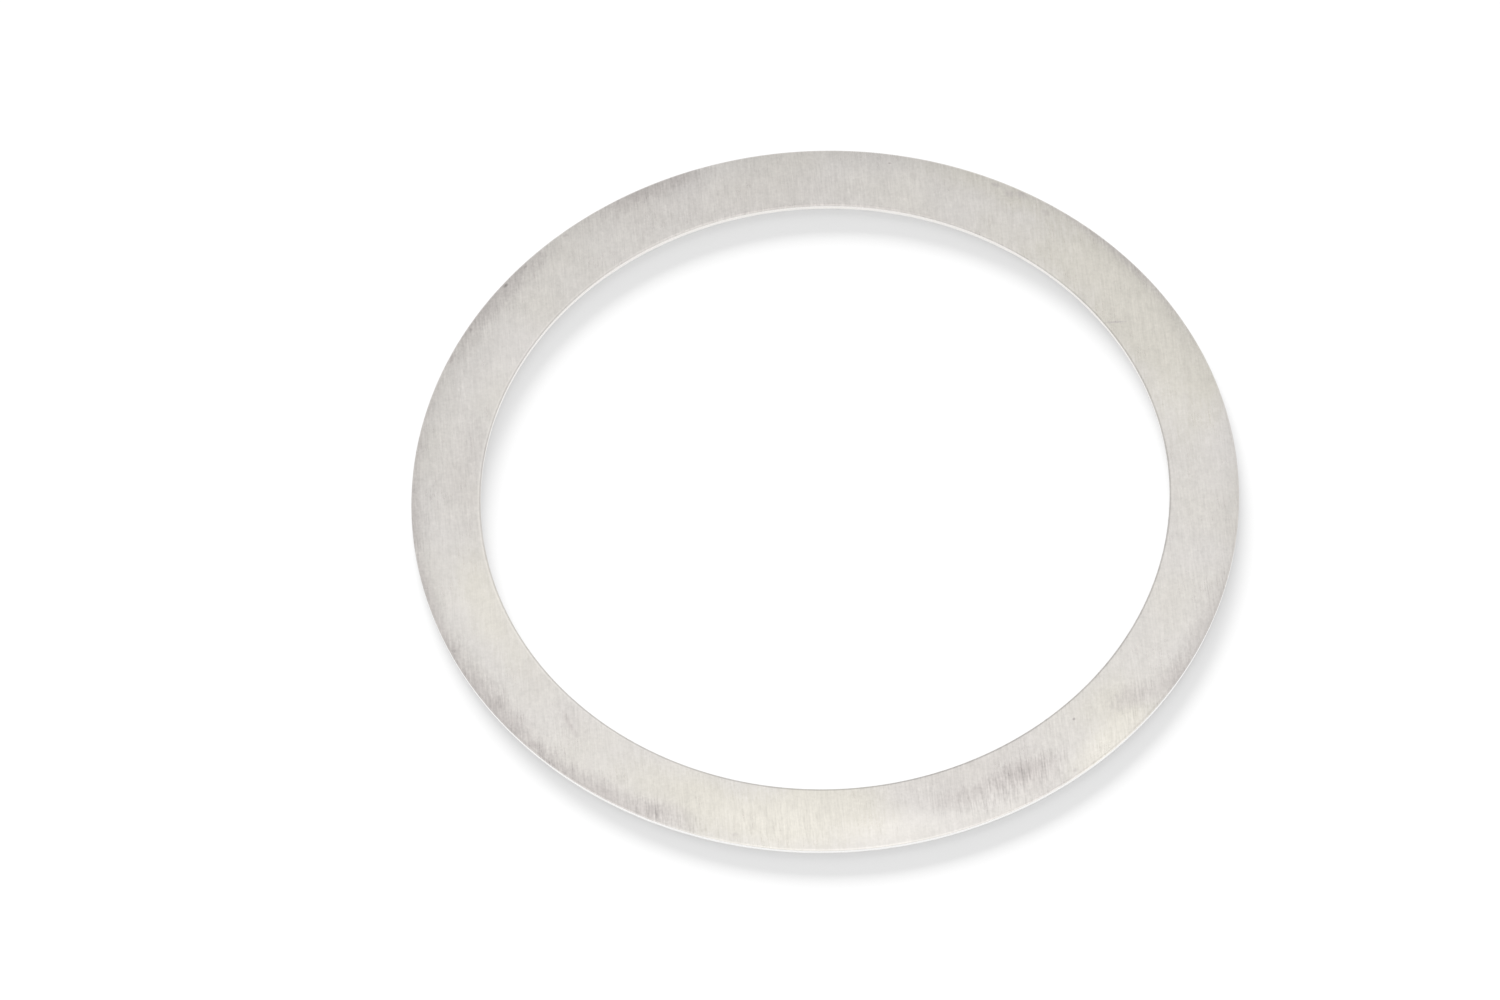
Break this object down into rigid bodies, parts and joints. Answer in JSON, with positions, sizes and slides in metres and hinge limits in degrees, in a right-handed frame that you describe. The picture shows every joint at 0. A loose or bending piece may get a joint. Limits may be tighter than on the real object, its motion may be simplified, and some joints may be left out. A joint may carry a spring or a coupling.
{
  "type": "differential shim",
  "caption": "Thin flat steel ring with a large plain bore and softly drawn upper edges; it lies beside a carrier bearing to set its preload and the gears' backlash.",
  "frame": {"origin": "centre of the bore on the plane of the lower face, on which the ring lies", "axes": "+Z along the bore axis, from the lower face to the upper face, whose two edges are drawn down; X and Y are free, since the ring is round"},
  "size_m": [0.0776, 0.0776, 0.0006],
  "materials": {
    "rolled_steel": "bare cold-rolled sheet, satin, with fine straight rolling grain and faint grey mottling"
  },
  "bodies": {
    "root": {"shim_ring": "rolled_steel"}
  },
  "joints": []
}
